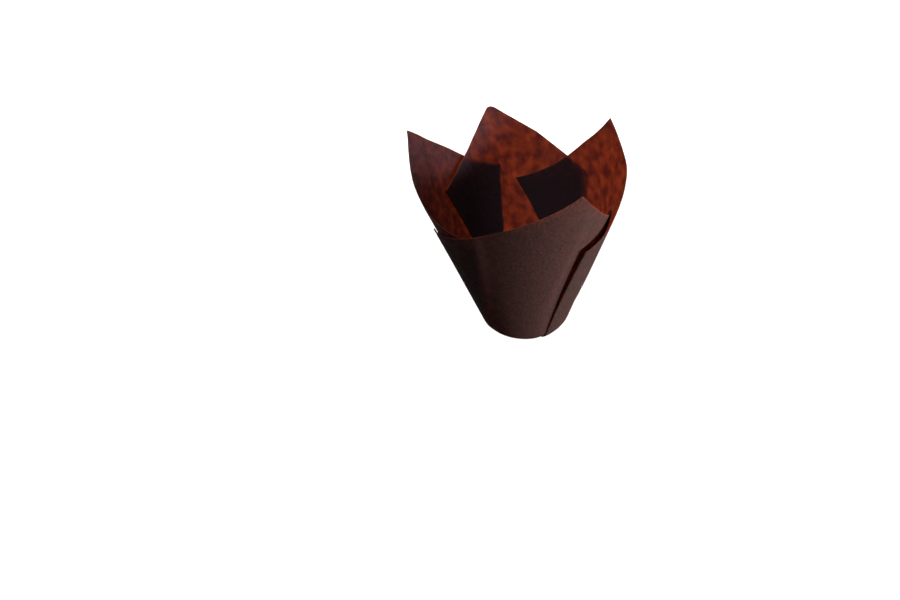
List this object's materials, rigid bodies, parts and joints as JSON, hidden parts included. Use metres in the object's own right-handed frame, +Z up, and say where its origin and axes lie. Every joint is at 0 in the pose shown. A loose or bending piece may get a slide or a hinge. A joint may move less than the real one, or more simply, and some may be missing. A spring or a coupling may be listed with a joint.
{
  "type": "cupcake liner",
  "caption": "Tulip cupcake liner: a square of brown greaseproof paper pressed into a pleated standing cup with pointed petals.",
  "frame": {"origin": "middle of the flat base, on the surface that the cup stands on", "axes": "+Z up out of the cup's mouth, -Y towards the front petal's side, +X to the right of it"},
  "size_m": [0.0883, 0.0956, 0.0961],
  "materials": {
    "greaseproof_paper": "matte"
  },
  "bodies": {
    "root": {"liner": "greaseproof_paper"}
  },
  "joints": []
}
